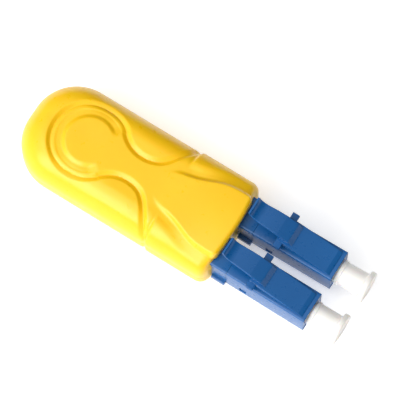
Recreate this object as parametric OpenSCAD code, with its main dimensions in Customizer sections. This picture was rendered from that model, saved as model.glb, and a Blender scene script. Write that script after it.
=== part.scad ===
// Duplex fibre loopback plug: a two-part moulded shell that holds two small
// form factor fibre connectors side by side, a loop of fibre that joins them
// inside the shell, and a pull-off dust cap on each ferrule.
// Millimetres. X runs along the plug towards the dust caps, Y is across it,
// Z is up, and Z = 0 is the table. X = 0 is the middle of the overall length.

/* [Shell] */
// Distance from the shell's front face back to its rounded rear end
shell_l = 31.5; // [28:0.1:36]
// Width of the shell behind the side grooves
shell_w = 14.4; // [14:0.1:17]
// Width of the squarer front part of the shell
front_w = 14.7; // [14:0.1:17]
// Height of the shell's flat top above the table
shell_h = 8.2; // [7.8:0.1:10]
// Radius of the two plan arcs that form the rear end
rear_r = 6.3; // [4:0.1:7]
// Rounding of the upper long edges
top_r = 3.6; // [1:0.1:4]
// Rounding of the lower long edges
base_r = 2.8; // [1:0.1:3]
// Height of the joint between the two shell halves
seam_z = 3.9; // [3:0.1:4.5]
// Wall thickness at the widest line
wall = 1.5; // [1:0.1:2]

/* [Relief on the top] */
// Distance of the round head's centre behind the front face
head_x = 22.5; // [18:0.1:25]
// Radius of the round head
head_r = 5.1; // [4:0.1:5.6]
// Radius of the raised inner disc
inner_r = 3.15; // [2:0.05:4]
// Depth of the ring channel below the top
ring_d = 0.3; // [0.1:0.05:0.5]
// Distance of the side lobes' centres behind the front face
lobe_x = 15.3; // [12:0.1:18]
// Distance of the lobes' centres from the middle plane
lobe_y = 6.7; // [5:0.1:8]
// Radius of the curved groove around each lobe
lobe_r = 4.83; // [3:0.05:6]
// Half width of the cut that forms the curved grooves
groove_r = 0.55; // [0.2:0.05:0.8]
// Height of the raised fan above the flat top at the front
fan_h = 0.85; // [0.4:0.05:1.2]

/* [Connectors] */
// Distance between the two connector axes at their seats in the shell
pitch = 6.25; // [6.25:0.05:6.5]
// Width and height of a connector body
body_w = 4.5; // [4.4:0.05:4.6]
// Height of the connector axes above the table
axis_z = 4.5; // [4:0.1:5]
// Angle by which each connector leans outwards at rest
toe = 0.5; // [0:0.1:1]
// Distance of the connector noses in front of the shell
nose_x = 14.1; // [12:0.1:16]
// Distance of the joint between front housing and rear body from the shell
joint_x = 2.2; // [1:0.1:3]
// Radius of the long edges of the connector body
edge_r = 0.28; // [0.1:0.02:0.5]
// Bore radius of the nose around the ferrule
nose_bore_r = 1.7; // [1.5:0.05:1.9]

/* [Latch] */
// Distance of the latch root's turning axis in front of the shell
latch_x = 11.5; // [10:0.1:12.5]
// Height of that axis above the connector body
latch_h = 0.34; // [0.3:0.02:0.6]
// Width of the front of the latch arm
arm_w = 3.6; // [3:0.1:4]
// Width across the two latching lugs
lug_w = 5.3; // [4.6:0.1:5.6]
// Width of the raised rear of the latch arm
tail_w = 2.9; // [2:0.1:3.4]

/* [Ferrule and spring] */
// Radius of the ceramic ferrule
ferrule_r = 0.6245; // [0.62:0.0005:0.63]
// Distance the ferrule stands out of the nose
ferrule_out = 1.7; // [1:0.1:2.5]
// Radius of the ferrule holder's collar
collar_r = 1.3; // [1.1:0.05:1.5]
// Mean radius of the spring
spring_r = 1.05; // [0.9:0.05:1.3]
// Radius of the spring's wire
wire_r = 0.17; // [0.1:0.01:0.25]
// Turns of the spring
spring_turns = 6; // [4:0.5:8]

/* [Dust caps] */
// Radius of the cap at the nose
cap_r = 1.62; // [1.4:0.02:1.9]
// Radius of the cap's outer flange
cap_flange_r = 2.25; // [2:0.05:2.6]
// Distance from the nose to the cap's outer end
cap_out = 4.6; // [3:0.1:6]

/* [Fibre] */
// Radius of the buffered fibre
fibre_r = 0.45; // [0.1:0.05:0.5]
// Bend radius of the fibre loop
loop_r = 5; // [5:0.1:6]

/* [Hidden] */
$fn = 64;
cx = (shell_l - nose_x - cap_out) / 2;
px = -7.2;
py = pitch / 2;
half_b = body_w / 2;
rear_x = -(shell_l - rear_r);
rear_y = shell_w / 2 - rear_r;
front_x = -9.4;
pocket_w = body_w + 0.32;
pocket_h = body_w + 0.12;
cav_w = shell_w - 2 * wall;
cav_lo = 1.3;
cav_hi = shell_h - 1.6;
blue = [0.02, 0.22, 0.50];
yellow = [1.0, 0.80, 0.05];

// Rounded rectangle about the origin, with exact corner arcs
module rrect(w, h, r) {
  square([w - 2 * r, h], center = true);
  square([w, h - 2 * r], center = true);
  for (a = [-1, 1], b = [-1, 1])
    translate([a * (w / 2 - r), b * (h / 2 - r)]) circle(r);
}

// A bar along X from x0 to x1 whose section is drawn as (Y, Z)
module bar(x0, x1) {
  translate([x0, 0, 0]) rotate([90, 0, 90]) linear_extrude(x1 - x0) children();
}

// A slab across Y of width w whose outline is drawn as (X, Z)
module slab(w) {
  rotate([90, 0, 0]) linear_extrude(w, center = true) children();
}

// A cylinder along X
module rod(x0, x1, r) {
  translate([x0, 0, 0]) rotate([0, 90, 0]) cylinder(r = r, h = x1 - x0);
}

// Puts a shape drawn in shell axes (front face at X = 0) into the part's frame
module placed() {
  translate([cx, 0, 0]) children();
}

// Puts a shape drawn about a connector's own axis into the part's frame:
// s = -1 is the left connector and s = 1 the right one
module on_axis(s) {
  translate([cx + px, s * py, axis_z]) rotate([0, 0, s * toe])
    translate([-px, 0, 0]) children();
}

// ---------------------------------------------------------------- shell

// Right half of a section, from the middle plane out to half width r
module half_section(r, rt, rb) {
  square([r - rt, shell_h]);
  translate([0, rb]) square([r, shell_h - rt - rb]);
  square([r - rb, shell_h - rt]);
  translate([r - rt, shell_h - rt]) circle(rt);
  translate([r - rb, rb]) circle(rb);
}

module full_section(w, rt, rb) {
  half_section(w / 2, rt, rb);
  mirror([1, 0]) half_section(w / 2, rt, rb);
}

// Plain outer body, before the relief
module shell_block() {
  bar(rear_x, front_x) full_section(shell_w, top_r, base_r);
  bar(front_x, 0) full_section(front_w, top_r - 0.3, base_r);
  for (s = [-1, 1])
    translate([rear_x, s * rear_y, 0]) rotate_extrude()
      intersection() {
        half_section(rear_r, top_r, base_r);
        square([2 * rear_r, 2 * shell_h]);
      }
  translate([rear_x, 0, 0]) rotate([90, 0, 0])
    linear_extrude(2 * rear_y, center = true)
      mirror([1, 0]) intersection() {
        half_section(rear_r, top_r, base_r);
        square([2 * rear_r, 2 * shell_h]);
      }
}

// Rounds the two upright front corners in plan
module front_corners() {
  for (s = [-1, 1]) difference() {
    translate([-1.6, s > 0 ? front_w / 2 - 1.6 : -front_w / 2 - 1, -1])
      cube([3, 2.6, 12]);
    translate([-1.6, s * (front_w / 2 - 1.6), -2]) cylinder(r = 1.6, h = 14);
  }
}

// Round head: a ring channel around a raised disc, inside a V shaped groove
module head_cut() {
  translate([-head_x, 0, 0]) rotate_extrude()
    polygon([[inner_r - 0.1, shell_h + 2], [inner_r - 0.1, shell_h + 0.01],
      [inner_r + 0.45, shell_h - ring_d * 0.8],
      [head_r - 0.7, shell_h - ring_d], [head_r, shell_h - ring_d - 0.25],
      [head_r + 0.3, shell_h + 0.05], [head_r + 0.3, shell_h + 2]]);
}

// The neck that joins the head to the fan stays at full height
module neck_keep() {
  difference() {
    translate([-head_x, -3.2, shell_h - 2]) cube([head_x - 8, 6.4, 4]);
    for (s = [-1, 1])
      translate([-lobe_x, s * lobe_y, shell_h - 3])
        cylinder(r = lobe_r + 0.1, h = 6);
    translate([-head_x - 2, -4, shell_h - 3]) cube([4.4, 8, 6]);
  }
}

// Curved groove around one side lobe, running out over the side
module lobe_groove(s) {
  tilt = 12;
  translate([0, s * (lobe_y - lobe_r), shell_h])
    rotate([-s * tilt, 0, 0])
      translate([-lobe_x, s * lobe_r, groove_r * 0.35])
        rotate([0, 0, s > 0 ? -152 : 20])
          rotate_extrude(angle = 132) translate([lobe_r, 0]) circle(groove_r);
  translate([-9.45, s * (shell_w / 2 + 0.3), 2.6])
    cylinder(r = groove_r, h = 4);
}

// Raised fan that widens towards the connectors
module fan() {
  intersection() {
    translate([0, 0, shell_h - 1]) linear_extrude(3)
      union() {
        polygon([[-11.6, 0], [-11.3, 1.6], [-10.6, 2.35], [-9.4, 2.7],
          [-8.4, 2.88], [-7.5, 3.12], [-6.4, 3.52], [-5.3, 4.0], [-4.2, 4.4],
          [-3, 4.65], [-0.6, 4.68], [-0.2, 4.5], [0, 4.2],
          [0, -4.2], [-0.2, -4.5], [-0.6, -4.68], [-3, -4.65], [-4.2, -4.4],
          [-5.3, -4.0], [-6.4, -3.52], [-7.5, -3.12], [-8.4, -2.88],
          [-9.4, -2.7], [-10.6, -2.35], [-11.3, -1.6]]);
        intersection() {
          translate([-30.2, 0]) circle(30.5, $fn = 180);
          translate([-1, -4.2]) square([2, 8.4]);
        }
      }
    translate([-11.5, -8, shell_h - 4]) rotate([0, -atan(fan_h / 11.5), 0])
      cube([14, 16, 4]);
  }
}

// Shallow valleys beside the fan
module valleys() {
  for (s = [-1, 1])
    translate([-9.2, s * 5.0, shell_h + 1.9]) rotate([0, 90, s * 5])
      cylinder(r = 2.25, h = 12);
}

module shell_outer() {
  difference() {
    shell_block();
    difference() { head_cut(); neck_keep(); }
    for (s = [-1, 1]) lobe_groove(s);
    valleys();
    front_corners();
  }
  fan();
}

// Room inside for the fibre, the spool and the connectors' rear ends
module cavity() {
  difference() {
    union() {
      translate([rear_x, -cav_w / 2, cav_lo])
        cube([px - 0.05 - rear_x, cav_w, cav_hi - cav_lo]);
      for (s = [-1, 1]) translate([rear_x, s * rear_y, cav_lo])
        cylinder(r = rear_r - wall, h = cav_hi - cav_lo);
      translate([rear_x - rear_r + wall, -rear_y, cav_lo])
        cube([rear_r - wall, 2 * rear_y, cav_hi - cav_lo]);
    }
    // Bosses around the locating pins
    for (s = [-1, 1])
      translate([-28.2, s * 3.7, 0]) cylinder(r = 1.15, h = shell_h - 1);
    translate([-13.6, 0, 0]) cylinder(r = 1.6, h = shell_h - 1);
  }
  // Pockets that hold the connectors, each with a retaining web
  for (s = [-1, 1]) translate([0, s * py, axis_z]) {
    bar(-2.12, 1) square([pocket_w, pocket_h], center = true);
    bar(-6, -1) square([4.0, 3.86], center = true);
    bar(px - 0.1, -5.86) square([pocket_w, pocket_h], center = true);
  }
}

// Where the locating pins stand
pins = [[-28.2, -3.7, 0.55], [-28.2, 3.7, 0.55], [-13.6, 0, 0.8],
  [-4, 0, 0.4]];

module shell_upper() {
  color(yellow) placed() difference() {
    shell_outer();
    translate([-60, -30, -1]) cube([100, 60, seam_z + 1.01]);
    cavity();
    for (p = pins) translate([p[0], p[1], 0])
      cylinder(r = p[2] + 0.02, h = seam_z + 1.6);
  }
}

module shell_lower() {
  color(yellow) placed() {
    difference() {
      shell_block();
      translate([-60, -30, seam_z - 0.01]) cube([100, 60, 30]);
      cavity();
      front_corners();
      for (s = [-1, 1])
        translate([-9.45, s * (shell_w / 2 + 0.3), 2.6])
          cylinder(r = groove_r, h = 4);
      // Finger recess under the front edge
      translate([-2.2, 0, -1.6]) rotate([90, 0, 0])
        cylinder(r = 1.9, h = 5, center = true);
    }
    for (p = pins) translate([p[0], p[1], seam_z - 1])
      cylinder(r = p[2], h = 2.4);
    // Seat and post for the spool
    translate([-head_x, 0, cav_lo - 0.2]) cylinder(r = 2.2, h = 1.2);
    translate([-head_x, 0, cav_lo - 0.2]) cylinder(r = 1, h = 4.6);
  }
}

// ---------------------------------------------------------------- fibre

// The loop leaves each connector straight, turns outwards and runs round the
// spool in one arc, so no bend is tighter than the loop's own radius
loop_a = asin((py + loop_r) / (2 * loop_r));
bend_x = -head_x + 2 * loop_r * cos(loop_a);

// Route of the fibre's centre line, from the right connector to the left one
bend_n = 6;
loop_n = 42;
route = concat(
  [[-10.4, py], [-13.5, py]],
  [for (i = [0 : bend_n]) let (a = -90 - (90 - loop_a) * i / bend_n)
    [bend_x + loop_r * cos(a), py + loop_r + loop_r * sin(a)]],
  [for (i = [1 : loop_n - 1]) let (a = loop_a + (360 - 2 * loop_a) * i / loop_n)
    [-head_x + loop_r * cos(a), loop_r * sin(a)]],
  [for (i = [bend_n : -1 : 0]) let (a = 90 + (90 - loop_a) * i / bend_n)
    [bend_x + loop_r * cos(a), -py - loop_r + loop_r * sin(a)]],
  [[-13.5, -py], [-10.4, -py]]);

// Round tube of radius r swept along a flat route, with m sides
module flat_tube(p, r, m) {
  n = len(p);
  pts = [for (i = [0 : n - 1]) let (
      d = p[min(i + 1, n - 1)] - p[max(i - 1, 0)],
      u = [-d[1], d[0]] / norm(d))
    for (j = [0 : m - 1]) let (b = 360 * j / m)
      [p[i][0] + r * cos(b) * u[0], p[i][1] + r * cos(b) * u[1], r * sin(b)]];
  polyhedron(points = pts, faces = concat(
    [for (i = [0 : n - 2], j = [0 : m - 1])
      [i * m + j, i * m + (j + 1) % m, (i + 1) * m + (j + 1) % m,
        (i + 1) * m + j]],
    [[for (j = [m - 1 : -1 : 0]) j], [for (j = [0 : m - 1]) (n - 1) * m + j]]),
    convexity = 4);
}

module fibre_loop() {
  color([0.93, 0.93, 0.88]) placed() translate([0, 0, axis_z])
    flat_tube(route, fibre_r, 12);
}

module fibre_spool() {
  color([0.9, 0.9, 0.9]) placed() translate([-head_x, 0, 0]) difference() {
    union() {
      translate([0, 0, cav_lo + 1.02]) cylinder(r = 5.3, h = 0.7);
      translate([0, 0, cav_lo + 1.02]) cylinder(r = 4.4, h = 4);
      translate([0, 0, cav_lo + 4.3]) cylinder(r = 5.3, h = 0.7);
    }
    translate([0, 0, 1]) cylinder(r = 1.03, h = 8);
    for (a = [0 : 60 : 300]) rotate([0, 0, a])
      translate([2.9, 0, 1]) cylinder(r = 0.8, h = 8);
  }
}

// ------------------------------------------------------------ connectors

module front_housing(s) {
  color(blue) on_axis(s) difference() {
    union() {
      bar(joint_x, nose_x) rrect(body_w, body_w, edge_r);
      // Fixed foot of the latch, in front of its turning axis
      translate([0, 0, half_b - 0.2]) slab(arm_w)
        polygon([[latch_x + 0.05, 0], [13.6, 0], [13.6, 0.2], [12.9, 0.55],
          [latch_x + 0.05, 0.86]]);
    }
    // Seat of the latch root
    translate([latch_x, 0, half_b + latch_h]) rotate([90, 0, 0])
      cylinder(r = 0.35, h = 6, center = true);
    // Nose bore, shoulder and chamber
    rod(nose_x - 3.8, nose_x + 1, nose_bore_r);
    rod(9, nose_x - 3, 0.95);
    rod(joint_x - 1, 10.3, 1.75);
    // Chamfer in the nose mouth
    translate([nose_x - 0.25, 0, 0]) rotate([0, 90, 0])
      cylinder(r1 = nose_bore_r, r2 = nose_bore_r + 0.27, h = 0.26);
    // Snap windows in both sides
    translate([4.3, -half_b - 1, -1.6]) cube([0.96, body_w + 2, 1.1]);
  }
}

// Outline of the latch arm's raised rear part, with its tail curled upwards
tail_c = [2.7, 5.05];
function arc(c, r, a0, a1, n) =
  [for (i = [0 : n]) let (a = a0 + (a1 - a0) * i / n)
    c + [r * cos(a), r * sin(a)]];
function arc2(c, r0, r1, a0, a1, n) =
  [for (i = [0 : n]) let (a = a0 + (a1 - a0) * i / n,
    r = r0 + (r1 - r0) * i / n) c + [r * cos(a), r * sin(a)]];

module latch(s) {
  color(blue) on_axis(s) translate([0, 0, half_b]) {
    translate([latch_x, 0, latch_h]) rotate([90, 0, 0])
      cylinder(r = 0.31, h = arm_w, center = true);
    slab(arm_w) polygon([[latch_x, 0.64], [7.7, 1.56], [6.9, 1.75],
      [5.4, 1.85], [5.4, 1.15], [8.5, 0.55], [latch_x, 0.05]]);
    slab(lug_w) polygon([[6.4, 1.78], [5.5, 1.84], [5.4, 1.74], [5.4, 1.15],
      [6.4, 0.97]]);
    difference() {
      slab(tail_w) polygon(concat(
        [[7.7, 1.3], [7.7, 1.56], [6.95, 2.4], [6.75, 2.52], [5.3, 3.05],
          [4.0, 3.28]],
        arc(tail_c, 1.67, -90, -160, 8),
        arc2(tail_c, 1.95, 2.2, -160, -90, 8),
        [[4.0, 2.72], [5.2, 2.45], [5.6, 2.0], [5.6, 1.6]]));
      for (t = [-1, 1]) translate([5.3, t * (tail_w / 2), -1])
        rotate([0, 0, t * 2.6]) translate([-8, t > 0 ? 0 : -2, 0])
          cube([8, 2, 8]);
    }
  }
}

module rear_body(s) {
  color(blue) on_axis(s) difference() {
    union() {
      bar(-1.98, joint_x - 0.02) rrect(body_w, body_w, edge_r);
      bar(-5.98, -1.9) rrect(3.7, 3.7, edge_r);
      bar(px + 0.2, -5.98) rrect(body_w, body_w, edge_r);
      // Foot flange in front of the shell
      translate([0, 0, -half_b + 0.45])
        bar(0.16, joint_x - 0.02) rrect(5.4, 0.9, 0.15);
      // Collar that fills the rear of the front housing, with snap lugs
      rod(joint_x - 0.1, 5.4, 1.71);
      for (t = [-1, 1])
        translate([4.4, t > 0 ? 1.3 : -2.1, -1.5]) cube([0.76, 0.8, 0.9]);
      // Post for the crimp ring
      rod(-9.6, px + 0.3, 1.2);
    }
    rod(3.4, 6, 1.36);
    rod(-12, 4, 0.86);
  }
}

module ferrule(s) {
  color([0.95, 0.94, 0.9]) on_axis(s) difference() {
    rod(9.35, nose_x + ferrule_out - 0.15, ferrule_r);
    rod(8, 9.9, 0.2);
  }
  color([0.95, 0.94, 0.9]) on_axis(s)
    translate([nose_x + ferrule_out - 0.15, 0, 0]) rotate([0, 90, 0])
      cylinder(r1 = ferrule_r, r2 = ferrule_r - 0.1, h = 0.15);
}

module ferrule_holder(s) {
  color([0.7, 0.7, 0.68]) on_axis(s) difference() {
    union() {
      rod(8.4, 9.9, collar_r);
      translate([9.9, 0, 0]) rotate([0, 90, 0])
        cylinder(r1 = collar_r, r2 = 0.92, h = 0.38);
      rod(4.3, 8.5, 0.72);
    }
    rod(9.34, 11, ferrule_r + 0.003);
    rod(4, 9.4, 0.48);
    // Index notches in the collar
    for (a = [0 : 60 : 300]) rotate([a, 0, 0])
      translate([8.3, collar_r - 0.22, -0.22]) cube([1.0, 0.5, 0.44]);
  }
}

// Helix of round wire along X from x0 to x1
module helix(x0, x1, r, w, turns, n = 20, m = 8) {
  k = turns * n;
  // Closed end coils: the pitch is small at both ends
  function px_(t) = x0 + (x1 - x0) * (t < 0.12 ? 0.42 * t
    : t > 0.88 ? 1 - 0.42 * (1 - t)
    : 0.0504 + (t - 0.12) * (1 - 0.1008) / 0.76);
  pts = [for (i = [0 : k], j = [0 : m - 1])
    let (a = 360 * i / n, b = 360 * j / m, q = r + w * cos(b))
      [px_(i / k) + w * sin(b), q * cos(a), q * sin(a)]];
  faces = concat(
    [for (i = [0 : k - 1], j = [0 : m - 1])
      [i * m + j, i * m + (j + 1) % m, (i + 1) * m + (j + 1) % m,
        (i + 1) * m + j]],
    [[for (j = [m - 1 : -1 : 0]) j]],
    [[for (j = [0 : m - 1]) k * m + j]]);
  polyhedron(points = pts, faces = faces, convexity = 6);
}

module spring(s) {
  color([0.6, 0.6, 0.62]) on_axis(s)
    helix(3.42 + wire_r, 8.38 - wire_r, spring_r, wire_r, spring_turns);
}

module crimp_ring(s) {
  color([0.75, 0.75, 0.74]) on_axis(s) difference() {
    union() {
      rod(-10.4, px + 0.15, 1.62);
      rod(-12.8, -10.4, 1.3);
      for (i = [0 : 3]) rod(-9.7 + i * 0.6, -9.5 + i * 0.6, 1.7);
    }
    rod(-9.8, px + 1, 1.22);
    rod(-14, -9.7, 1.02);
  }
}

module strain_tube(s) {
  color([0.95, 0.95, 0.95]) on_axis(s) difference() {
    union() {
      rod(-15.2, -9.9, 1.0);
      rod(-13.3, -12.9, 1.3);
    }
    rod(-16, -9, 0.66);
  }
}

module dust_cap(s) {
  color([0.96, 0.95, 0.92]) on_axis(s) difference() {
    union() {
      // Skirt inside the nose
      rod(nose_x - 1.8, nose_x + 0.12, 1.58);
      // Collar that stops against the nose
      rod(nose_x + 0.08, nose_x + 0.6, 1.76);
      translate([nose_x + 0.5, 0, 0]) rotate([0, 90, 0])
        cylinder(r1 = cap_r, r2 = cap_r + 0.1, h = cap_out - 1.2);
      // Finger flange with softened edges
      translate([nose_x + cap_out - 0.8, 0, 0]) rotate([0, 90, 0])
        rotate_extrude() polygon([[0, 0], [cap_flange_r - 0.15, 0],
          [cap_flange_r, 0.15], [cap_flange_r, 0.65],
          [cap_flange_r - 0.15, 0.8], [0, 0.8]]);
    }
    rod(nose_x - 2, nose_x + 2.9, ferrule_r + 0.03);
    translate([nose_x - 1.81, 0, 0]) rotate([0, 90, 0])
      cylinder(r1 = 1.15, r2 = ferrule_r + 0.03, h = 0.7);
  }
}

module front_housing_left() { front_housing(-1); }
module latch_left() { latch(-1); }
module rear_body_left() { rear_body(-1); }
module ferrule_left() { ferrule(-1); }
module ferrule_holder_left() { ferrule_holder(-1); }
module spring_left() { spring(-1); }
module crimp_ring_left() { crimp_ring(-1); }
module strain_tube_left() { strain_tube(-1); }
module dust_cap_left() { dust_cap(-1); }
module front_housing_right() { front_housing(1); }
module latch_right() { latch(1); }
module rear_body_right() { rear_body(1); }
module ferrule_right() { ferrule(1); }
module ferrule_holder_right() { ferrule_holder(1); }
module spring_right() { spring(1); }
module crimp_ring_right() { crimp_ring(1); }
module strain_tube_right() { strain_tube(1); }
module dust_cap_right() { dust_cap(1); }

shell_upper();
shell_lower();
fibre_loop();
fibre_spool();
front_housing_left();
latch_left();
rear_body_left();
ferrule_left();
ferrule_holder_left();
spring_left();
crimp_ring_left();
strain_tube_left();
dust_cap_left();
front_housing_right();
latch_right();
rear_body_right();
ferrule_right();
ferrule_holder_right();
spring_right();
crimp_ring_right();
strain_tube_right();
dust_cap_right();
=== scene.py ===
import math

import bmesh
import bpy
import numpy as np
from mathutils import Matrix, Vector


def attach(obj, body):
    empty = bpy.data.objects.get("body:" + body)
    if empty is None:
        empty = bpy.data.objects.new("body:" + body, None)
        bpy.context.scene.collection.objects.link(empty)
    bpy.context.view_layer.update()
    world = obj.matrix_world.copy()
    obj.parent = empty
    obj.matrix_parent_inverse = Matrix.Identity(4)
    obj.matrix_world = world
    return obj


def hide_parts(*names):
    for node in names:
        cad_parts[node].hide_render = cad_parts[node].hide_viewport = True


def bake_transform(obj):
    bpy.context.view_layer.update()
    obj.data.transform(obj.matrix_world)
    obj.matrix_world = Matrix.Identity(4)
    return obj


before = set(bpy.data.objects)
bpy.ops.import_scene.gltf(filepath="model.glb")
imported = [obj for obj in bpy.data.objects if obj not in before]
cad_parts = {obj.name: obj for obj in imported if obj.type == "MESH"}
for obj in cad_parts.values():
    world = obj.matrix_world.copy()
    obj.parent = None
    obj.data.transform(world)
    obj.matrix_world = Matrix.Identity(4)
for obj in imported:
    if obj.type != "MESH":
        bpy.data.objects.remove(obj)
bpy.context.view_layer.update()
MM = 0.001

# The CAD's own dimensions, in millimetres. x is counted from the shell's front face.
CX = 6.4
PX, PY, AZ, TOE = -7.2, 3.125, 4.5, 0.5
SHELL_L, SHELL_H, SEAM = 31.5, 8.2, 3.9
REAR_R, REAR_X, REAR_Y = 6.3, -25.2, 0.9
HALF_B = 2.25
NOSE = 14.1


def smooth(a, b, v):
    t = np.clip((v - a) / (b - a), 0.0, 1.0)
    return t * t * (3 - 2 * t)


def connector_matrix(s):
    """From a connector's own axes (x from the shell's front, y and z from its axis) to the row frame, in mm."""
    return (
        Matrix.Translation((CX + PX, s * PY, AZ))
        @ Matrix.Rotation(math.radians(s * TOE), 4, "Z")
        @ Matrix.Translation((-PX, 0, 0))
    )


SHELL_M = Matrix.Translation((CX, 0, 0))


def finish_mesh(name, bm, matrix, mat, angle=32.0, weld=True):
    """bmesh in mm in its own axes -> an object in the row frame, in metres."""
    bm.transform(Matrix.Scale(MM, 4) @ matrix)
    if weld:
        bmesh.ops.remove_doubles(bm, verts=bm.verts, dist=2e-7)
    bmesh.ops.recalc_face_normals(bm, faces=bm.faces)
    me = bpy.data.meshes.new(name)
    bm.to_mesh(me)
    bm.free()
    me.materials.append(mat)
    me.shade_smooth()
    me.set_sharp_from_angle(angle=math.radians(angle))
    ob = bpy.data.objects.new(name, me)
    bpy.context.scene.collection.objects.link(ob)
    return ob


def add_lathe(bm, profile, segments=96, axis_origin=(0, 0, 0)):
    """Closed solid of revolution about X: profile is a list of (x, r), from one axis point to the other."""
    rings = []
    for x, r in profile:
        if r < 1e-6:
            rings.append([bm.verts.new((x, axis_origin[1], axis_origin[2]))])
        else:
            rings.append(
                [
                    bm.verts.new(
                        (
                            x,
                            axis_origin[1] + r * math.cos(2 * math.pi * k / segments),
                            axis_origin[2] + r * math.sin(2 * math.pi * k / segments),
                        )
                    )
                    for k in range(segments)
                ]
            )
    for a, b in zip(rings, rings[1:]):
        for k in range(segments):
            k2 = (k + 1) % segments
            if len(a) == 1 and len(b) == 1:
                continue
            if len(a) == 1:
                bm.faces.new((a[0], b[k], b[k2]))
            elif len(b) == 1:
                bm.faces.new((a[k], a[k2], b[0]))
            else:
                bm.faces.new((a[k], a[k2], b[k2], b[k]))


def round_corner(p0, p1, p2, r, n=5):
    """Points of an arc of radius r that rounds the corner p1 between p0 and p2."""
    a, b, c = (np.array(q, float) for q in (p0, p1, p2))
    u, v = a - b, c - b
    lu, lv = np.linalg.norm(u), np.linalg.norm(v)
    u, v = u / lu, v / lv
    cosang = float(np.clip(u @ v, -1, 1))
    ang = math.acos(cosang)
    if ang > math.radians(175) or r <= 0:
        return [tuple(b)]
    t = min(r / math.tan(ang / 2), 0.45 * lu, 0.45 * lv)
    rr = t * math.tan(ang / 2)
    m = u + v
    centre = b + m / np.linalg.norm(m) * (rr / math.sin(ang / 2))
    s, e = b + u * t - centre, b + v * t - centre
    a0, a1 = math.atan2(s[1], s[0]), math.atan2(e[1], e[0])
    d = (a1 - a0 + math.pi) % (2 * math.pi) - math.pi
    return [
        tuple(centre + rr * np.array([math.cos(a0 + d * k / n), math.sin(a0 + d * k / n)]))
        for k in range(n + 1)
    ]


def rounded(points, radii, closed=True, n=5):
    """A polyline with its corners rounded. radii is one number or one per point."""
    if not hasattr(radii, "__len__"):
        radii = [radii] * len(points)
    out = []
    count = len(points)
    for i, p in enumerate(points):
        if not closed and i in (0, count - 1):
            out.append(tuple(p))
            continue
        out.extend(round_corner(points[i - 1], p, points[(i + 1) % count], radii[i], n))
    return out


def boolean(ob, cutter, operation="DIFFERENCE"):
    m = ob.modifiers.new("cut", "BOOLEAN")
    m.operation = operation
    m.solver = "MANIFOLD"
    m.object = cutter
    dg = bpy.context.evaluated_depsgraph_get()
    dg.update()
    me = bpy.data.meshes.new_from_object(ob.evaluated_get(dg), depsgraph=dg)
    ob.modifiers.remove(m)
    old = ob.data
    name = old.name
    ob.data = me
    bpy.data.meshes.remove(old)
    me.name = name


def drop(ob):
    me = ob.data
    bpy.data.objects.remove(ob)
    bpy.data.meshes.remove(me)


def resharp(ob, mat, angle=32.0):
    ob.data.materials.clear()
    ob.data.materials.append(mat)
    for p in ob.data.polygons:
        p.material_index = 0
    ob.data.shade_smooth()
    ob.data.set_sharp_from_angle(angle=math.radians(angle))


# ------------------------------------------------------------------ materials


def new_material(name):
    m = bpy.data.materials.new(name)
    m.use_nodes = True
    nt = m.node_tree
    bsdf = nt.nodes["Principled BSDF"]
    return m, nt, bsdf


def node(nt, kind, **inputs):
    n = nt.nodes.new(kind)
    for k, v in inputs.items():
        n.inputs[k.replace("_", " ")].default_value = v
    return n


def noise(nt, coord, scale, detail=3.0, rough=0.5):
    n = nt.nodes.new("ShaderNodeTexNoise")
    n.inputs["Scale"].default_value = scale
    n.inputs["Detail"].default_value = detail
    n.inputs["Roughness"].default_value = rough
    nt.links.new(coord, n.inputs["Vector"])
    return n.outputs["Fac"]


def ramp(nt, fac, stops):
    n = nt.nodes.new("ShaderNodeValToRGB")
    el = n.color_ramp.elements
    el[0].position, el[0].color = stops[0][0], (*stops[0][1], 1)
    el[1].position, el[1].color = stops[-1][0], (*stops[-1][1], 1)
    for pos, col in stops[1:-1]:
        e = el.new(pos)
        e.color = (*col, 1)
    nt.links.new(fac, n.inputs["Fac"])
    return n.outputs["Color"]


def spread(nt, fac, lo, hi, a=0.3, b=0.7):
    n = nt.nodes.new("ShaderNodeMapRange")
    n.inputs["From Min"].default_value = a
    n.inputs["From Max"].default_value = b
    n.inputs["To Min"].default_value = lo
    n.inputs["To Max"].default_value = hi
    nt.links.new(fac, n.inputs["Value"])
    return n.outputs["Result"]


def bump(nt, height, strength, distance, normal=None):
    n = nt.nodes.new("ShaderNodeBump")
    n.inputs["Strength"].default_value = strength
    n.inputs["Distance"].default_value = distance
    nt.links.new(height, n.inputs["Height"])
    if normal is not None:
        nt.links.new(normal, n.inputs["Normal"])
    return n.outputs["Normal"]


def soft_edges(nt, radius):
    n = nt.nodes.new("ShaderNodeBevel")
    n.samples = 6
    n.inputs["Radius"].default_value = radius
    return n.outputs["Normal"]


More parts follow.
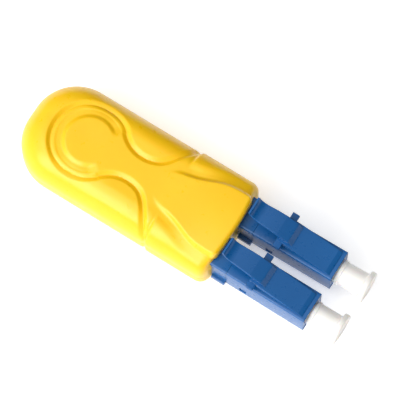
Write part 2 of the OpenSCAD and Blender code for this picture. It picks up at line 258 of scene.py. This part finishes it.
def moulded(
    name,
    light,
    dark,
    rough=(0.22, 0.34),
    texture=2600.0,
    bump_by=0.05,
    sss=0.0,
    sss_radius=(1, 0.6, 0.2),
    sss_scale=0.0006,
    coat=0.0,
    edge=0.0,
    ior=1.5,
    spec=0.5,
):
    """Moulded plastic: slow colour drift from the melt, fine tool texture, faint scuffs in the gloss."""
    m, nt, b = new_material(name)
    geo = nt.nodes.new("ShaderNodeTexCoord")
    co = geo.outputs["Object"]
    drift = noise(nt, co, 120.0, 4.0, 0.55)
    colour = ramp(nt, drift, [(0.25, dark), (0.75, light)])
    nt.links.new(colour, b.inputs["Base Color"])
    scuff = noise(nt, co, 900.0, 6.0, 0.65)
    nt.links.new(spread(nt, scuff, rough[0], rough[1]), b.inputs["Roughness"])
    grain = noise(nt, co, texture, 2.0, 0.5)
    waves = noise(nt, co, 190.0, 2.0, 0.4)
    base = soft_edges(nt, edge) if edge else None
    n1 = bump(nt, waves, 0.25, 0.00004, base)
    nt.links.new(bump(nt, grain, bump_by, 0.00002, n1), b.inputs["Normal"])
    b.inputs["IOR"].default_value = ior
    b.inputs["Specular IOR Level"].default_value = spec
    if sss:
        b.inputs["Subsurface Weight"].default_value = sss
        b.inputs["Subsurface Radius"].default_value = sss_radius
        b.inputs["Subsurface Scale"].default_value = sss_scale
    if coat:
        b.inputs["Coat Weight"].default_value = coat
        b.inputs["Coat Roughness"].default_value = 0.08
    return m


YELLOW = moulded(
    "yellow_shell",
    (1.0, 0.60, 0.006),
    (0.98, 0.55, 0.004),
    rough=(0.26, 0.36),
    sss=0.25,
    sss_radius=(1.0, 0.55, 0.05),
    sss_scale=0.0009,
    bump_by=0.05,
)
BLUE = moulded(
    "blue_housing",
    (0.004, 0.105, 0.330),
    (0.003, 0.088, 0.285),
    rough=(0.24, 0.36),
    bump_by=0.07,
    edge=0.00007,
)
BLUE_CAD = BLUE
WHITE = moulded(
    "white_cap",
    (0.90, 0.875, 0.84),
    (0.86, 0.83, 0.79),
    rough=(0.34, 0.46),
    sss=0.5,
    sss_radius=(1.0, 0.8, 0.6),
    sss_scale=0.0007,
    bump_by=0.06,
)
NATURAL = moulded("natural_plastic", (0.80, 0.79, 0.75), (0.72, 0.71, 0.67), rough=(0.35, 0.5), edge=0.00006)
FIBRE = moulded("fibre_buffer", (0.85, 0.84, 0.72), (0.78, 0.77, 0.66), rough=(0.28, 0.4), bump_by=0.03)
CERAMIC = moulded("ceramic_ferrule", (0.90, 0.88, 0.84), (0.86, 0.84, 0.80), rough=(0.08, 0.16), bump_by=0.02, sss=0.15, sss_scale=0.0004, ior=2.1, edge=0.00003)


def machined():
    m, nt, b = new_material("machined_metal")
    geo = nt.nodes.new("ShaderNodeTexCoord")
    mp = nt.nodes.new("ShaderNodeMapping")
    mp.inputs["Scale"].default_value = (9000.0, 300.0, 300.0)
    nt.links.new(geo.outputs["Object"], mp.inputs["Vector"])
    lines = noise(nt, mp.outputs["Vector"], 1.0, 3.0, 0.6)
    stain = noise(nt, geo.outputs["Object"], 420.0, 4.0, 0.6)
    nt.links.new(ramp(nt, stain, [(0.3, (0.50, 0.49, 0.46)), (0.7, (0.66, 0.65, 0.62))]), b.inputs["Base Color"])
    b.inputs["Metallic"].default_value = 1.0
    nt.links.new(spread(nt, lines, 0.22, 0.42), b.inputs["Roughness"])
    nt.links.new(bump(nt, lines, 0.2, 0.00001, soft_edges(nt, 0.00005)), b.inputs["Normal"])
    return m


STEEL = machined()

# ------------------------------------------------------------------ the shell


def groove_path():
    """Centre line of one curved groove on the +Y side, in plan, from the head's ring out to the shell's edge."""
    c = np.array([-15.3, 6.7])
    pts = []
    for a in np.linspace(-137.1, -58.0, 26):
        pts.append(c + 4.83 * np.array([math.cos(math.radians(a)), math.sin(math.radians(a))]))
    for q in [(-12.15, 3.05), (-11.65, 3.75), (-11.15, 4.65), (-10.65, 5.5), (-10.15, 6.3), (-9.7, 6.95), (-9.45, 7.35), (-9.42, 8.5)]:
        pts.append(np.array(q))
    # a little smoothing where the arc turns into the run-out
    pts = np.array(pts)
    for _ in range(3):
        pts[1:-1] = 0.25 * pts[:-2] + 0.5 * pts[1:-1] + 0.25 * pts[2:]
    return pts


GROOVE = groove_path()
FAN_X = np.array([-12.6, -12.0, -11.3, -10.4, -9.4, -8.4, -7.5, -6.4, -5.3, -4.2, -3.0, -1.8, -0.6, 0.6])
FAN_W = np.array([0.2, 1.2, 2.0, 2.45, 2.72, 2.90, 3.14, 3.55, 4.02, 4.42, 4.66, 4.74, 4.72, 4.6])


def plan_half_width(x):
    rear = REAR_Y + np.sqrt(np.clip(REAR_R**2 - np.clip(REAR_X - x, 0, REAR_R) ** 2, 0, None))
    w = np.where(x < REAR_X, rear, 7.2)
    w = w + 0.15 * smooth(-9.45, -9.1, x)
    w = w - 0.20 * np.exp(-(((x + 9.5) / 0.26) ** 2))
    c = np.clip(x + 1.6, 0, 1.6)
    return w - (1.6 - np.sqrt(1.6**2 - c**2))


def edge_distance(x, y, w):
    """Distance in plan from the shell's outline, going inwards."""
    ay = np.abs(y)
    rear = REAR_R - np.hypot(x - REAR_X, np.clip(ay - REAR_Y, 0, None))
    return np.clip(np.where(x < REAR_X, rear, w - ay), 0, None)


def distance_to_path(x, y, path):
    best = np.full(x.shape, 1e9)
    for a, b in zip(path[:-1], path[1:]):
        d = b - a
        t = np.clip(((x - a[0]) * d[0] + (y - a[1]) * d[1]) / (d @ d), 0, 1)
        best = np.minimum(best, np.hypot(x - a[0] - t * d[0], y - a[1] - t * d[1]))
    return best


def vee(dist, width, depth):
    """A V groove with a slightly rounded bottom and soft shoulders."""
    t = np.clip(1 - dist / width, 0, 1)
    return -depth * (np.sqrt((t * 1.0) ** 2 + 0.012) - math.sqrt(0.012)) * smooth(0.0, 0.25, t)


def relief(x, y, z):
    """How far the moulded top stands out of (or is sunk into) the plain body, in mm, and the fan's share."""
    ay = np.abs(y)
    r = np.hypot(x + 22.5, y)
    ang = np.degrees(np.arctan2(ay, x + 22.5))
    # ring groove round the head, closed off where it turns into the side grooves
    ring = vee(np.abs(r - 5.1), 0.62, 0.42) * smooth(41.0, 45.0, ang)
    side = vee(distance_to_path(x, ay, GROOVE), 0.62, 0.42)
    out = np.minimum(ring, side)
    # recessed channel between the ring and the inner disc; it runs out towards the neck
    channel = smooth(3.05, 3.75, r) * (1 - smooth(4.3, 5.1, r))
    out = out - 0.30 * channel * smooth(38.0, 62.0, ang)
    # the inner disc is dished a little
    out = out - 0.05 * (1 - smooth(0.0, 3.0, r))
    # lobes beside the neck swell a little inside their groove
    lobe = np.hypot(x + 15.3, ay - 6.7)
    out = out + 0.10 * (1 - smooth(2.2, 4.9, lobe)) * smooth(0.2, 1.4, 7.2 - ay)
    # shallow valley beside the fan
    f = np.interp(x, FAN_X, FAN_W)
    beside = smooth(-0.1, 0.5, ay - f) * (1 - smooth(0.9, 2.3, ay - f))
    out = out - 0.22 * beside * smooth(-11.5, -8.0, x)
    # raised fan with a narrow sloping edge
    top = SHELL_H + 0.85 * np.clip((x + 11.8) / 11.8, 0, 1) - 0.012 * y**2 * smooth(-9, -2, x)
    inside = smooth(-0.22, 0.26, f - ay) * smooth(-12.2, -9.8, x)
    lift = np.clip(top - z, 0, None)
    out = out * (1 - inside * smooth(-11.8, -10.2, x)) + inside * lift
    return out, inside


def shell_half(name, upper):
    e_f = 0.6
    xs = list(REAR_X - 6.3 * np.cos(np.linspace(0, math.pi / 2, 84)))
    xs += list(np.linspace(REAR_X, -e_f, 216)[1:])
    back = [0.0] * len(xs)
    for k in range(1, 9):
        a = math.radians(90 * k / 8)
        xs.append(-e_f + e_f * math.sin(a))
        back.append(e_f * (1 - math.cos(a)))
    xs, back = np.array(xs), np.array(back)
    cols = 176 if upper else 96
    u = np.linspace(-1, 1, cols + 1)
    g = np.sin(u * math.pi / 2)
    X = np.repeat(xs[:, None], cols + 1, 1)
    B = np.repeat(back[:, None], cols + 1, 1)
    W0 = plan_half_width(X)
    Y0 = W0 * g[None, :]
    D = edge_distance(X, Y0, W0)
    front = smooth(-9.6, -9.2, X)
    if upper:
        rt = 3.6 - 0.3 * front
        zc = SHELL_H - rt
        q = np.clip(rt - D, 0, None)
        Z = zc + np.sqrt(np.clip(rt**2 - q**2, 0, None))
    else:
        rt = 2.8 + 0 * X
        zc = rt
        q = np.clip(rt - D, 0, None)
        Z = zc - np.sqrt(np.clip(rt**2 - q**2, 0, None))
    P = np.stack([X, Y0, Z], -1)
    if upper:
        du = np.gradient(P, axis=0)
        dv = np.gradient(P, axis=1)
        N = np.cross(du, dv)
        N[N[..., 2] < 0] *= -1
        length = np.linalg.norm(N, axis=-1, keepdims=True)
        N = np.where(length > 1e-12, N / np.clip(length, 1e-12, None), [0, 0, 1.0])
        R, inside = relief(X, Y0, Z)
        fade = smooth(0.02, 0.5, D)
        straight = np.stack([np.zeros_like(R), np.zeros_like(R), R], -1)
        P = P + np.where(inside[..., None] > 0.02, straight, N * R[..., None]) * fade[..., None]
    else:
        # thumb recess across the underside, behind the front edge
        dip = -1.6 + np.sqrt(np.clip(1.9**2 - (X + 2.2) ** 2, 0, None))
        dip = np.where(np.abs(X + 2.2) < 1.9, dip, -1)
        k = 1 - smooth(2.3, 2.6, np.abs(Y0))
        P[..., 2] = np.where(D > 2.8, np.maximum(P[..., 2], dip * k), P[..., 2])
    # soft front edge: the section draws in as it reaches the front face
    mid = SEAM
    hw = W0
    P[..., 1] *= (hw - B) / hw
    height = np.abs(P[..., 2] - mid)
    limit = np.maximum(height.max(axis=1, keepdims=True), 1e-6)
    P[..., 2] -= np.sign(P[..., 2] - mid) * B * height / limit
    # the fan's front edge stands a little further forward
    if upper:
        swell = 0.3 * np.clip(1 - (P[..., 1] / 4.7) ** 2, 0, 1) * smooth(6.9, 8.4, P[..., 2])
        P[..., 0] += swell * smooth(-4.0, 0.0, P[..., 0])
    # side walls down (or up) to the seam, with a small chamfer along it
    rows = [P]
    nz = 6
    wall_lo = []
    side_z = P[:, :1, 2], P[:, -1:, 2]
    cols_left, cols_right = [], []
    for k in range(nz, 0, -1):
        t = k / nz
        zl = side_z[0] + (SEAM - side_z[0]) * t
        zr = side_z[1] + (SEAM - side_z[1]) * t
        nick = 0.05 if k == nz else 0.0
        cols_left.append(np.stack([P[:, :1, 0], P[:, :1, 1] + nick, zl], -1))
        cols_right.append(np.stack([P[:, -1:, 0], P[:, -1:, 1] - nick, zr], -1))
    # nick column: a point just off the seam keeps the chamfer small
    def near(cols):
        last = cols[0].copy()
        return last

    G = np.concatenate(cols_left + [P] + cols_right[::-1], axis=1)
    # the second column sits just off the seam so the chamfer is only 0.05 high
    G[:, 1, 2] = SEAM + (0.06 if upper else -0.06)
    G[:, -2, 2] = SEAM + (0.06 if upper else -0.06)
    # rear face down to the seam
    tip = G[:1].copy()
    tip[..., 2] = SEAM
    tip[..., 0] += 0.05
    tip2 = G[:1].copy()
    tip2[..., 2] = np.where(np.abs(tip2[..., 2] - SEAM) > 0.06, SEAM + (0.06 if upper else -0.06), tip2[..., 2])
    # front face down to the seam
    fronts = []
    last = G[-1:]
    for k in range(1, 9):
        t = k / 8
        row = last.copy()
        row[..., 2] = last[..., 2] + (SEAM - last[..., 2]) * t
        row[..., 0] = last[..., 0] * (1 - t) ** 2
        fronts.append(row)
    G = np.concatenate([tip, tip2, G] + fronts, axis=0)
    nr, nc = G.shape[:2]
    bm = bmesh.new()
    verts = [bm.verts.new(p) for p in G.reshape(-1, 3)]
    idx = lambda i, j: verts[i * nc + j]
    for i in range(nr - 1):
        for j in range(nc - 1):
            bm.faces.new((idx(i, j), idx(i, j + 1), idx(i + 1, j + 1), idx(i + 1, j)))
    bmesh.ops.remove_doubles(bm, verts=bm.verts, dist=1e-5)
    bmesh.ops.dissolve_degenerate(bm, dist=1e-6, edges=bm.edges)
    # close along the seam plane
    rim = [e for e in bm.edges if e.is_boundary]
    bmesh.ops.holes_fill(bm, edges=rim, sides=0)
    ob = finish_mesh(name, bm, SHELL_M, YELLOW, weld=False)
    return ob


def box_mesh(x0, x1, y0, y1, z0, z1):
    bm = bmesh.new()
    m = Matrix.Translation(((x0 + x1) / 2, (y0 + y1) / 2, (z0 + z1) / 2)) @ Matrix.Diagonal((x1 - x0, y1 - y0, z1 - z0, 1))
    bmesh.ops.create_cube(bm, size=1.0, matrix=m)
    return finish_mesh("cut", bm, SHELL_M, YELLOW)


def cyl_mesh(x, y, r, z0, z1, seg=64):
    bm = bmesh.new()
    m = Matrix.Translation((x, y, (z0 + z1) / 2))
    bmesh.ops.create_cone(bm, cap_ends=True, segments=seg, radius1=r, radius2=r, depth=z1 - z0, matrix=m)
    return finish_mesh("cut", bm, SHELL_M, YELLOW)


PINS = [(-28.2, -3.7, 0.55), (-28.2, 3.7, 0.55), (-13.6, 0.0, 0.8), (-4.0, 0.0, 0.4)]


def hollow(upper_ob, lower_ob):
    lo, hi = 1.3, SHELL_H - 1.6
    cut = box_mesh(REAR_X, PX - 0.05, -5.7, 5.7, lo, hi)
    parts = [
        box_mesh(REAR_X - 4.8, REAR_X + 0.5, -REAR_Y, REAR_Y, lo, hi),
        cyl_mesh(REAR_X, -REAR_Y, 4.8, lo, hi),
        cyl_mesh(REAR_X, REAR_Y, 4.8, lo, hi),
    ]
    for p in parts:
        boolean(cut, p, "UNION")
        drop(p)
    for x, y, r in [(-28.2, -3.7, 1.15), (-28.2, 3.7, 1.15), (-13.6, 0.0, 1.6)]:
        b = cyl_mesh(x, y, r, lo - 1, hi + 1)
        boolean(cut, b)
        drop(b)
    for s in (-1, 1):
        for x0, x1, w, h in [(-2.12, 1, 4.82, 4.62), (-6.0, -1.0, 4.0, 3.86), (PX - 0.1, -5.86, 4.82, 4.62)]:
            b = box_mesh(x0, x1, s * PY - w / 2, s * PY + w / 2, AZ - h / 2, AZ + h / 2)
            boolean(cut, b, "UNION")
            drop(b)
    boolean(upper_ob, cut)
    boolean(lower_ob, cut)
    drop(cut)
    for x, y, r in PINS:
        b = cyl_mesh(x, y, r + 0.02, SEAM - 1, SEAM + 1.6)
        boolean(upper_ob, b)
        drop(b)
        b = cyl_mesh(x, y, r, SEAM - 1, SEAM + 1.4)
        boolean(lower_ob, b, "UNION")
        drop(b)
    for r, z1 in ((2.2, lo + 1.0), (1.0, lo + 4.4)):
        b = cyl_mesh(-22.5, 0, r, lo - 0.2, z1)
        boolean(lower_ob, b, "UNION")
        drop(b)
    resharp(upper_ob, YELLOW, 38)
    resharp(lower_ob, YELLOW, 38)


upper = shell_half("shell_top_cover", True)
lower = shell_half("shell_base", False)
hollow(upper, lower)
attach(upper, "shell")
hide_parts("shell_upper")
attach(lower, "shell")
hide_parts("shell_lower")

# ------------------------------------------------------------ the connectors


def rounded_bar(bm, x0, x1, w, h, r, cap0=0.08, cap1=0.08, seg=5, cz=0.0):
    """Rectangular bar along X with rounded long edges and softened ends."""
    def ring(x, inset):
        ww, hh, rr = w / 2 - inset, h / 2 - inset, max(r - inset * 0.5, 0.03)
        pts = []
        for cxx, czz, a0 in ((ww - rr, hh - rr, 0), (-ww + rr, hh - rr, 90), (-ww + rr, -hh + rr, 180), (ww - rr, -hh + rr, 270)):
            for k in range(seg + 1):
                a = math.radians(a0 + 90 * k / seg)
                pts.append(bm.verts.new((x, cxx + rr * math.cos(a), cz + czz + rr * math.sin(a))))
        return pts

    rings = []
    n = 4
    for k in range(n + 1):
        a = math.pi / 2 * k / n
        rings.append(ring(x0 + cap0 * (1 - math.sin(a)), cap0 * (1 - math.cos(math.pi / 2 - a)) if cap0 else 0))
    for k in range(n + 1):
        a = math.pi / 2 * k / n
        rings.append(ring(x1 - cap1 * (1 - math.sin(math.pi / 2 - a)), cap1 * (1 - math.cos(a)) if cap1 else 0))
    m = len(rings[0])
    for a, b in zip(rings, rings[1:]):
        for k in range(m):
            bm.faces.new((a[k], a[(k + 1) % m], b[(k + 1) % m], b[k]))
    bm.faces.new(list(reversed(rings[0])))
    bm.faces.new(rings[-1])


def prism(bm, outline, half_width, bevel=0.06, taper=None):
    """Slab across Y from an (x, z) outline, its rims softened by an inset step."""
    def loop(y, inset):
        pts = np.array(outline, float)
        if inset:
            nxt = np.roll(pts, -1, 0)
            prv = np.roll(pts, 1, 0)
            d1 = pts - prv
            d2 = nxt - pts
            n1 = np.stack([-d1[:, 1], d1[:, 0]], -1) / np.maximum(np.linalg.norm(d1, axis=1, keepdims=True), 1e-9)
            n2 = np.stack([-d2[:, 1], d2[:, 0]], -1) / np.maximum(np.linalg.norm(d2, axis=1, keepdims=True), 1e-9)
            n = n1 + n2
            n /= np.maximum(np.linalg.norm(n, axis=1, keepdims=True), 1e-9)
            area = 0.5 * np.sum(pts[:, 0] * nxt[:, 1] - nxt[:, 0] * pts[:, 1])
            pts = pts + n * inset * (1 if area > 0 else -1)
        out = []
        for px_, pz_ in pts:
            f = taper(px_) if taper else 1.0
            out.append(bm.verts.new((px_, y * f, pz_)))
        return out

    loops = []
    steps = 4
    for k in range(steps + 1):
        a = math.pi / 2 * k / steps
        loops.append(loop(-half_width + bevel * (1 - math.sin(a)), bevel * (1 - math.cos(math.pi / 2 - a))))
    for k in range(steps, -1, -1):
        a = math.pi / 2 * k / steps
        loops.append(loop(half_width - bevel * (1 - math.sin(a)), bevel * (1 - math.cos(math.pi / 2 - a))))
    m = len(outline)
    for a, b in zip(loops, loops[1:]):
        for k in range(m):
            bm.faces.new((a[k], a[(k + 1) % m], b[(k + 1) % m], b[k]))
    bm.faces.new(list(reversed(loops[0])))
    bm.faces.new(loops[-1])


def densify(points, step):
    out = []
    for a, b in zip(points, points[1:] + points[:1]):
        a, b = np.array(a, float), np.array(b, float)
        n = max(1, int(round(np.linalg.norm(b - a) / step)))
        for k in range(n):
            out.append(tuple(a + (b - a) * k / n))
    return out


def front_housing(s, side):
    bm = bmesh.new()
    rounded_bar(bm, 2.2, NOSE, 4.5, 4.5, 0.28, 0.07, 0.10)
    ob = finish_mesh("plug_body_" + side, bm, connector_matrix(s), BLUE)
    cuts = []
    bm = bmesh.new()
    # stepped bore: chamber, shoulder, nose bore and its chamfered mouth
    add_lathe(bm, [(1.0, 0), (1.0, 1.75), (10.3, 1.75), (10.3, 0.95), (NOSE - 3.8, 0.95), (NOSE - 3.8, 1.7), (NOSE - 0.24, 1.7), (NOSE + 0.02, 1.96), (NOSE + 1, 1.96), (NOSE + 1, 0)], 96)
    cuts.append(finish_mesh("cut", bm, connector_matrix(s), BLUE))
    # side windows, their rims chamfered
    for t in (-1, 1):
        bm = bmesh.new()
        for y, grow in ((1.0, 0.0), (HALF_B - 0.06, 0.0), (HALF_B + 0.02, 0.08), (HALF_B + 0.6, 0.08)):
            ring = [bm.verts.new((x, t * y, z)) for x, z in rounded([(4.3 - grow, -1.6 - grow), (5.26 + grow, -1.6 - grow), (5.26 + grow, -0.5 + grow), (4.3 - grow, -0.5 + grow)], 0.1, n=3)]
            if y > 1.0:
                for k in range(len(ring)):
                    bm.faces.new((last[k], last[(k + 1) % len(ring)], ring[(k + 1) % len(ring)], ring[k]))
            else:
                bm.faces.new(ring)
            last = ring
        bm.faces.new(list(reversed(last)))
        cuts.append(finish_mesh("cut", bm, connector_matrix(s), BLUE))
    for c in cuts:
        boolean(ob, c)
        drop(c)
    resharp(ob, BLUE, 30)
    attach(ob, "plug_" + side)
    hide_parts("front_housing_" + side)
    return ob


def latch(s, side):
    z0 = HALF_B
    bm = bmesh.new()
    # front of the arm and its root, which runs into the nose of the body
    top = [(13.62, -0.03), (13.5, 0.1), (12.95, 0.36), (12.5, 0.45), (7.7, 1.56), (6.9, 1.75), (5.4, 1.85)]
    low = [(5.4, 1.15), (8.5, 0.55), (11.3, 0.09), (12.2, 0.02), (12.4, -0.03)]
    outline = rounded(top + low, [0, 0.08, 0.12, 0.4, 0.3, 0.3, 0.12, 0.12, 0.5, 0.3, 0, 0], n=4)
    outline = densify(outline, 0.35)
    prism(bm, [(x, z + z0) for x, z in outline], 1.8, 0.07)
    # lugs
    lug = rounded([(6.42, 1.70), (5.5, 1.80), (5.4, 1.7), (5.4, 1.18), (6.42, 1.02)], [0.1, 0.06, 0.06, 0.08, 0.08], n=3)
    prism(bm, [(x, z + z0) for x, z in lug], 2.65, 0.07)
    # raised rear of the arm, curling up at the tail
    c = (2.7, 5.05)
    upper_arc = [(c[0] + 1.67 * math.cos(math.radians(a)), c[1] + 1.67 * math.sin(math.radians(a))) for a in np.linspace(-92, -160, 14)]
    lower_arc = [
        (c[0] + r * math.cos(math.radians(a)), c[1] + r * math.sin(math.radians(a)))
        for a, r in zip(np.linspace(-160, -90, 14), np.linspace(1.95, 2.2, 14))
    ]
    front = rounded([(7.9, 1.2), (7.72, 1.50), (6.98, 2.42), (6.6, 2.58), (5.3, 3.05), (4.0, 3.30)], [0, 0.1, 0.18, 0.4, 0.6, 0.6], closed=False, n=4)
    back = rounded([(4.0, 2.74), (5.2, 2.45), (5.65, 1.95), (5.65, 1.5)], [0.4, 0.5, 0.2, 0], closed=False, n=4)
    outline = front + upper_arc + lower_arc + back
    taper = lambda x: 1.0 if x > 5.3 else 1.0 - 0.032 * (5.3 - x)
    prism(bm, [(x, z + z0) for x, z in outline], 1.45, 0.09, taper)
    ob = finish_mesh("latch_arm_" + side, bm, connector_matrix(s), BLUE, angle=40)
    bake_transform(ob)
    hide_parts("latch_" + side)
    return ob


def dust_cap(s, side):
    n = NOSE
    e = n + 4.6
    outer = rounded(
        [
            (n - 1.8, 1.15),
            (n - 1.8, 1.58),
            (n + 0.1, 1.58),
            (n + 0.1, 1.76),
            (n + 0.62, 1.74),
            (n + 0.72, 1.62),
            (e - 0.86, 1.72),
            (e - 0.78, 2.25),
            (e, 2.25),
            (e, 1.55),
            (e - 0.12, 1.45),
            (e - 0.14, 0.0),
        ],
        [0.05, 0.12, 0.05, 0.1, 0.1, 0.1, 0.14, 0.2, 0.22, 0.1, 0.08, 0],
        closed=False,
        n=5,
    )
    inner = [(n - 1.1, 0.6545), (n - 1.8, 1.15)]
    profile = [(n + 2.9, 0.0), (n + 2.9, 0.6545)] + inner[:1] + outer
    bm = bmesh.new()
    add_lathe(bm, profile, 96)
    ob = finish_mesh("pull_cap_" + side, bm, connector_matrix(s), WHITE, angle=35)
    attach(ob, "cap_" + side)
    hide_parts("dust_cap_" + side)
    return ob


for s, side in ((-1, "left"), (1, "right")):
    front_housing(s, side)
    latch(s, side)
    dust_cap(s, side)

NODE_MATERIALS = {"fibre_loop": FIBRE, "fibre_spool": NATURAL}
for side in ("left", "right"):
    NODE_MATERIALS.update(
        {
            "rear_body_" + side: BLUE_CAD,
            "front_housing_" + side: BLUE,
            "latch_" + side: BLUE,
            "ferrule_" + side: CERAMIC,
            "ferrule_holder_" + side: STEEL,
            "spring_" + side: STEEL,
            "crimp_ring_" + side: STEEL,
            "strain_tube_" + side: NATURAL,
            "dust_cap_" + side: WHITE,
        }
    )
NODE_MATERIALS["shell_upper"] = NODE_MATERIALS["shell_lower"] = YELLOW
for name, mat in NODE_MATERIALS.items():
    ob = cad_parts[name]
    if not ob.material_slots:
        ob.data.materials.append(mat)
    for slot in ob.material_slots:
        slot.material = mat

# ------------------------------------------------------------------ the stage

floor_m, nt, b = new_material("pale_floor")
co = nt.nodes.new("ShaderNodeTexCoord").outputs["Object"]
nt.links.new(ramp(nt, noise(nt, co, 8.0, 3.0), [(0.3, (0.93, 0.93, 0.93)), (0.7, (0.95, 0.95, 0.95))]), b.inputs["Base Color"])
b.inputs["Roughness"].default_value = 0.9
b.inputs["Specular IOR Level"].default_value = 0.1
b.inputs["Emission Color"].default_value = (1, 1, 1, 1)
b.inputs["Emission Strength"].default_value = 0.42
bm = bmesh.new()
bmesh.ops.create_grid(bm, x_segments=2, y_segments=2, size=1.5)
me = bpy.data.meshes.new("floor")
bm.to_mesh(me)
bm.free()
me.materials.append(floor_m)
floor = bpy.data.objects.new("floor", me)
bpy.context.scene.collection.objects.link(floor)
floor.location = (0, 0, -0.00002)

world = bpy.data.worlds.new("studio")
bpy.context.scene.world = world
world.use_nodes = True
wn = world.node_tree
bg = wn.nodes["Background"]
tc = wn.nodes.new("ShaderNodeTexCoord")
dot = wn.nodes.new("ShaderNodeVectorMath")
dot.operation = "DOT_PRODUCT"
dot.inputs[1].default_value = tuple(Vector((-0.30, -0.62, 0.72)).normalized())
wn.links.new(tc.outputs["Generated"], dot.inputs[0])
mr = wn.nodes.new("ShaderNodeMapRange")
mr.interpolation_type = "SMOOTHSTEP"
mr.inputs["From Min"].default_value = -0.10
mr.inputs["From Max"].default_value = 0.80
mr.inputs["To Min"].default_value = 0.02
mr.inputs["To Max"].default_value = 0.9
wn.links.new(dot.outputs["Value"], mr.inputs["Value"])
wn.links.new(mr.outputs["Result"], bg.inputs["Strength"])
bg.inputs["Color"].default_value = (1, 1, 1, 1)


def area(name, direction, distance, size, power, colour=(1, 1, 1)):
    d = Vector(direction).normalized()
    light = bpy.data.lights.new(name, "AREA")
    light.shape = "DISK"
    light.size = size
    light.energy = power
    light.color = colour
    ob = bpy.data.objects.new(name, light)
    bpy.context.scene.collection.objects.link(ob)
    ob.location = d * distance
    ob.rotation_euler = d.to_track_quat("Z", "Y").to_euler()
    return ob


area("key", (-0.35, -1.0, 0.85), 0.55, 0.42, 1.9)
area("top", (-0.35, -0.25, 1.0), 0.7, 0.5, 1.1)

# ----------------------------------------------------------------- the camera

AZIMUTH, ELEVATION, DISTANCE = 32.3, 73.0, 0.400
TARGET = Vector((0.0, 0.0018, 0.0045))
a, e = math.radians(AZIMUTH), math.radians(ELEVATION)
back = Vector((math.sin(a) * math.cos(e), -math.cos(a) * math.cos(e), math.sin(e)))
cam = bpy.data.cameras.new("camera")
cam.sensor_width = 36.0
cam.lens = 3040.0 / 400.0 * 36.0
cam.clip_start = 0.01
cam.clip_end = 10.0
cam_ob = bpy.data.objects.new("camera", cam)
bpy.context.scene.collection.objects.link(cam_ob)
cam_ob.location = TARGET + back * DISTANCE
cam_ob.rotation_euler = back.to_track_quat("Z", "Y").to_euler()
bpy.context.scene.camera = cam_ob
bpy.context.scene.view_settings.view_transform = "Standard"
